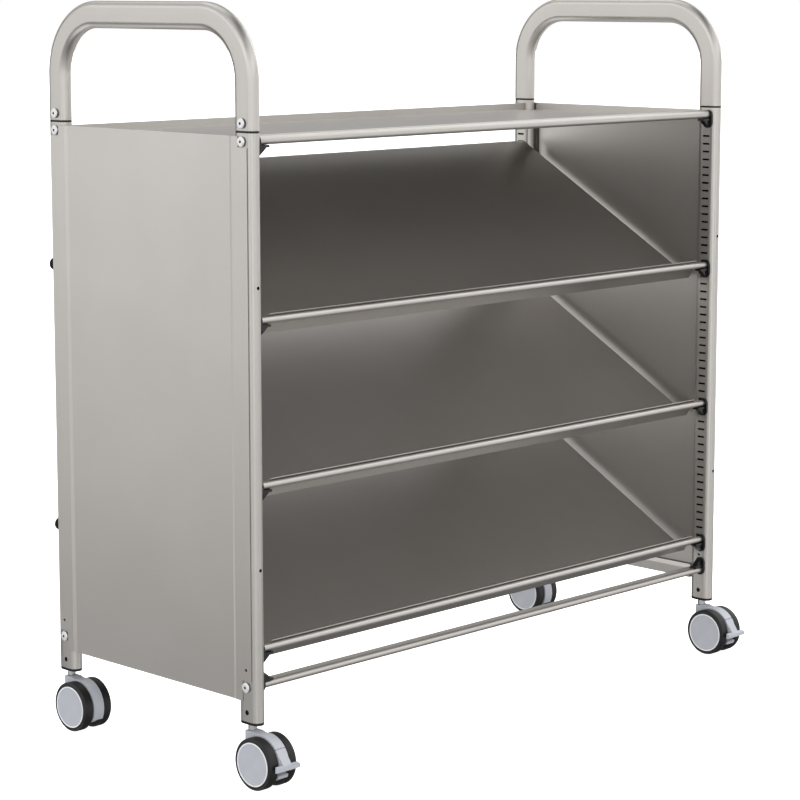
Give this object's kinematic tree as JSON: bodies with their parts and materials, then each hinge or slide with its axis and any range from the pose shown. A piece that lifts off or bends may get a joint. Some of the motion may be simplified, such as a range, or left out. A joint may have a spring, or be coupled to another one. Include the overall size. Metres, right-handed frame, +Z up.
{
  "type": "tilted shelf trolley",
  "caption": "Library trolley with tilted sheet-metal shelves resting on front rods between slotted tube uprights, a top tray, end handles and swivel castors with brakes.",
  "frame": {"origin": "centre of the trolley's bounding box, on the floor under the wheels", "axes": "+X along the shelves, -Y towards the open front where the rods are, +Z up"},
  "size_m": [1.046, 0.4966, 1.0595],
  "materials": {
    "paint": "smooth satin powder coat, warm light grey",
    "black_plastic": "glossy black moulding",
    "castor_grey": "satin pale blue-grey moulding",
    "tyre": "smooth black tread",
    "rubber": "matt black rubber",
    "zinc_steel": "zinc-plated steel"
  },
  "bodies": {
    "frame": {"bracket_lower_left": "black_plastic", "bracket_lower_right": "black_plastic", "bracket_shelf_lower_left": "black_plastic", "bracket_shelf_lower_right": "black_plastic", "bracket_shelf_middle_left": "black_plastic", "bracket_shelf_middle_right": "black_plastic", "bracket_shelf_upper_left": "black_plastic", "bracket_shelf_upper_right": "black_plastic", "bracket_top_left": "black_plastic", "bracket_top_right": "black_plastic", "castor_stem_back_left": "zinc_steel", "castor_stem_back_right": "zinc_steel", "castor_stem_front_left": "zinc_steel", "castor_stem_front_right": "zinc_steel", "end_panel_left": "paint", "end_panel_right": "paint", "handle_connector_back_left": "black_plastic", "handle_connector_back_right": "black_plastic", "handle_connector_front_left": "black_plastic", "handle_connector_front_right": "black_plastic", "handle_left": "paint", "handle_right": "paint", "rear_buffer_lower_left": "rubber", "rear_buffer_lower_right": "rubber", "rear_buffer_upper_left": "rubber", "rear_buffer_upper_right": "rubber", "rod_lower_back": "paint", "rod_lower_front": "paint", "rod_shelf_lower": "paint", "rod_shelf_middle": "paint", "rod_shelf_upper": "paint", "rod_top_front": "paint", "tilted_shelf_lower": "paint", "tilted_shelf_middle": "paint", "tilted_shelf_upper": "paint", "top_tray": "paint", "tube_plug_back_left": "black_plastic", "tube_plug_back_right": "black_plastic", "tube_plug_front_left": "black_plastic", "tube_plug_front_right": "black_plastic", "upright_back_left": "paint", "upright_back_right": "paint", "upright_front_left": "paint", "upright_front_right": "paint"},
    "castor_front_left": {"castor_hood_front_left": "castor_grey"},
    "wheel_front_left_inner": {"castor_wheel_front_left_inner": "tyre"},
    "wheel_front_left_outer": {"castor_wheel_front_left_outer": "tyre"},
    "brake_left": {"brake_lever_left": "castor_grey"},
    "castor_back_left": {"castor_hood_back_left": "castor_grey"},
    "wheel_back_left_inner": {"castor_wheel_back_left_inner": "tyre"},
    "wheel_back_left_outer": {"castor_wheel_back_left_outer": "tyre"},
    "castor_front_right": {"castor_hood_front_right": "castor_grey"},
    "wheel_front_right_inner": {"castor_wheel_front_right_inner": "tyre"},
    "wheel_front_right_outer": {"castor_wheel_front_right_outer": "tyre"},
    "brake_right": {"brake_lever_right": "castor_grey"},
    "castor_back_right": {"castor_hood_back_right": "castor_grey"},
    "wheel_back_right_inner": {"castor_wheel_back_right_inner": "tyre"},
    "wheel_back_right_outer": {"castor_wheel_back_right_outer": "tyre"}
  },
  "joints": [
    {"name": "swivel_front_left", "type": "hinge", "parent": "frame", "child": "castor_front_left", "pos_m": [-0.4975, -0.17478, 0.07525], "axis": [0, 0, 1], "continuous": true},
    {"name": "spin_front_left_inner", "type": "hinge", "parent": "castor_front_left", "child": "wheel_front_left_inner", "pos_m": [-0.4975, -0.20067, 0.03625], "axis": [1, 0, 0], "continuous": true},
    {"name": "spin_front_left_outer", "type": "hinge", "parent": "castor_front_left", "child": "wheel_front_left_outer", "pos_m": [-0.4975, -0.20067, 0.03625], "axis": [1, 0, 0], "continuous": true},
    {"name": "brake_left", "type": "hinge", "parent": "castor_front_left", "child": "brake_left", "pos_m": [-0.4975, -0.20067, 0.03625], "axis": [1, 0, 0], "range_deg": [0, 12]},
    {"name": "swivel_back_left", "type": "hinge", "parent": "frame", "child": "castor_back_left", "pos_m": [-0.4975, 0.22123, 0.07525], "axis": [0, 0, 1], "continuous": true},
    {"name": "spin_back_left_inner", "type": "hinge", "parent": "castor_back_left", "child": "wheel_back_left_inner", "pos_m": [-0.4975, 0.19532, 0.03625], "axis": [1, 0, 0], "continuous": true},
    {"name": "spin_back_left_outer", "type": "hinge", "parent": "castor_back_left", "child": "wheel_back_left_outer", "pos_m": [-0.4975, 0.19532, 0.03625], "axis": [1, 0, 0], "continuous": true},
    {"name": "swivel_front_right", "type": "hinge", "parent": "frame", "child": "castor_front_right", "pos_m": [0.4975, -0.17478, 0.07525], "axis": [0, 0, 1], "continuous": true},
    {"name": "spin_front_right_inner", "type": "hinge", "parent": "castor_front_right", "child": "wheel_front_right_inner", "pos_m": [0.4975, -0.20067, 0.03625], "axis": [1, 0, 0], "continuous": true},
    {"name": "spin_front_right_outer", "type": "hinge", "parent": "castor_front_right", "child": "wheel_front_right_outer", "pos_m": [0.4975, -0.20067, 0.03625], "axis": [1, 0, 0], "continuous": true},
    {"name": "brake_right", "type": "hinge", "parent": "castor_front_right", "child": "brake_right", "pos_m": [0.4975, -0.20067, 0.03625], "axis": [1, 0, 0], "range_deg": [0, 12]},
    {"name": "swivel_back_right", "type": "hinge", "parent": "frame", "child": "castor_back_right", "pos_m": [0.4975, 0.22123, 0.07525], "axis": [0, 0, 1], "continuous": true},
    {"name": "spin_back_right_inner", "type": "hinge", "parent": "castor_back_right", "child": "wheel_back_right_inner", "pos_m": [0.4975, 0.19532, 0.03625], "axis": [1, 0, 0], "continuous": true},
    {"name": "spin_back_right_outer", "type": "hinge", "parent": "castor_back_right", "child": "wheel_back_right_outer", "pos_m": [0.4975, 0.19532, 0.03625], "axis": [1, 0, 0], "continuous": true}
  ]
}
